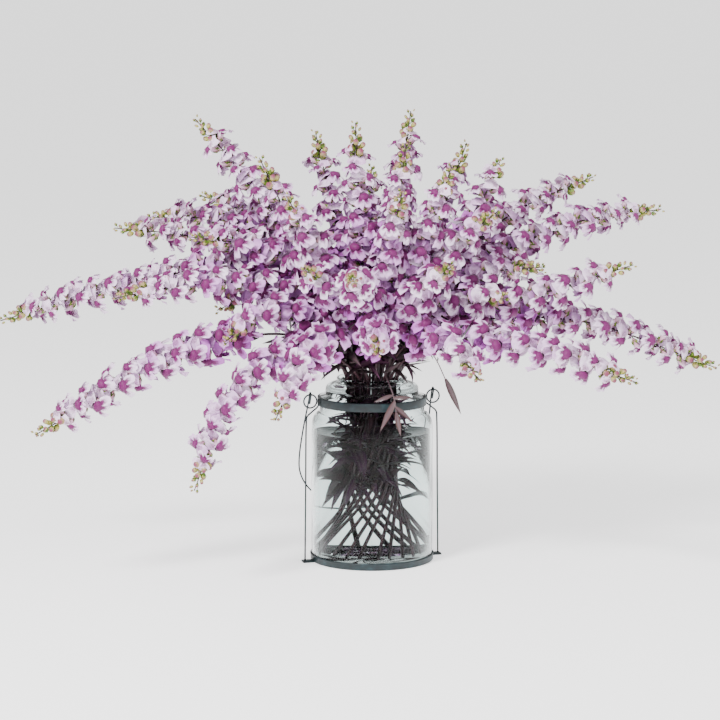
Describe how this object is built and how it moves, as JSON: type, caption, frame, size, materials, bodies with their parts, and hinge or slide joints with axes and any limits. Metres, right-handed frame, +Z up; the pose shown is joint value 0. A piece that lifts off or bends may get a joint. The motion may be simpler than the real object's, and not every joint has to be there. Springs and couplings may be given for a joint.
{
  "type": "snapdragon in vase",
  "caption": "Cut snapdragon stems fanned out of a clear glass lantern jar held in a dark wire carrier with ear rings and a hooked bail that swings behind the jar",
  "frame": {"origin": "centre of the tray's flat underside, on the table", "axes": "+Z up; +X through the carrier's right ear ring and along the widest spread of the flowers; +Y towards the jar's back, where the bail rests"},
  "size_m": [1.0191, 0.6677, 0.67],
  "materials": {
    "carrier_metal": "satin",
    "jar_glass": "gloss",
    "jar_water": "gloss",
    "snapdragon_petals": "matte",
    "snapdragon_buds": "satin",
    "snapdragon_stem": "satin",
    "snapdragon_leaf": "satin"
  },
  "bodies": {
    "carrier": {"base_tray": "carrier_metal", "ear_ring_left": "carrier_metal", "ear_ring_right": "carrier_metal", "frame_wire_left": "carrier_metal", "frame_wire_right": "carrier_metal", "glass_jar": "jar_glass", "neck_band": "carrier_metal", "snapdragon_back": "snapdragon_petals", "snapdragon_back_high": "snapdragon_petals", "snapdragon_back_left": "snapdragon_petals", "snapdragon_back_right": "snapdragon_petals", "snapdragon_back_right_low": "snapdragon_petals", "snapdragon_far_left": "snapdragon_petals", "snapdragon_far_right": "snapdragon_petals", "snapdragon_front": "snapdragon_petals", "snapdragon_front_high": "snapdragon_petals", "snapdragon_front_left": "snapdragon_petals", "snapdragon_front_left_high": "snapdragon_petals", "snapdragon_front_left_low": "snapdragon_petals", "snapdragon_front_low": "snapdragon_petals", "snapdragon_front_right": "snapdragon_petals", "snapdragon_front_right_high": "snapdragon_petals", "snapdragon_front_right_low": "snapdragon_petals", "snapdragon_front_tall": "snapdragon_petals", "snapdragon_left_bud": "snapdragon_petals", "snapdragon_left_droop": "snapdragon_petals", "snapdragon_left_front": "snapdragon_petals", "snapdragon_left_front_tall": "snapdragon_petals", "snapdragon_left_hang": "snapdragon_petals", "snapdragon_left_high": "snapdragon_petals", "snapdragon_left_low": "snapdragon_petals", "snapdragon_left_middle": "snapdragon_petals", "snapdragon_left_tall": "snapdragon_petals", "snapdragon_left_top": "snapdragon_petals", "snapdragon_left_upper": "snapdragon_petals", "snapdragon_right_bare": "snapdragon_petals", "snapdragon_right_bud": "snapdragon_petals", "snapdragon_right_front": "snapdragon_petals", "snapdragon_right_front_high": "snapdragon_petals", "snapdragon_right_high": "snapdragon_petals", "snapdragon_right_low": "snapdragon_petals", "snapdragon_right_lower": "snapdragon_petals", "snapdragon_right_top": "snapdragon_petals", "snapdragon_right_upper": "snapdragon_petals", "snapdragon_top": "snapdragon_petals", "snapdragon_top_left": "snapdragon_petals", "snapdragon_top_right": "snapdragon_petals"},
    "bail": {"bail_handle": "carrier_metal"}
  },
  "joints": [
    {"name": "bail_swing", "type": "hinge", "parent": "carrier", "child": "bail", "pos_m": [0, 0, 0.2545], "axis": [1, 0, 0], "range_deg": [0, 85]}
  ]
}
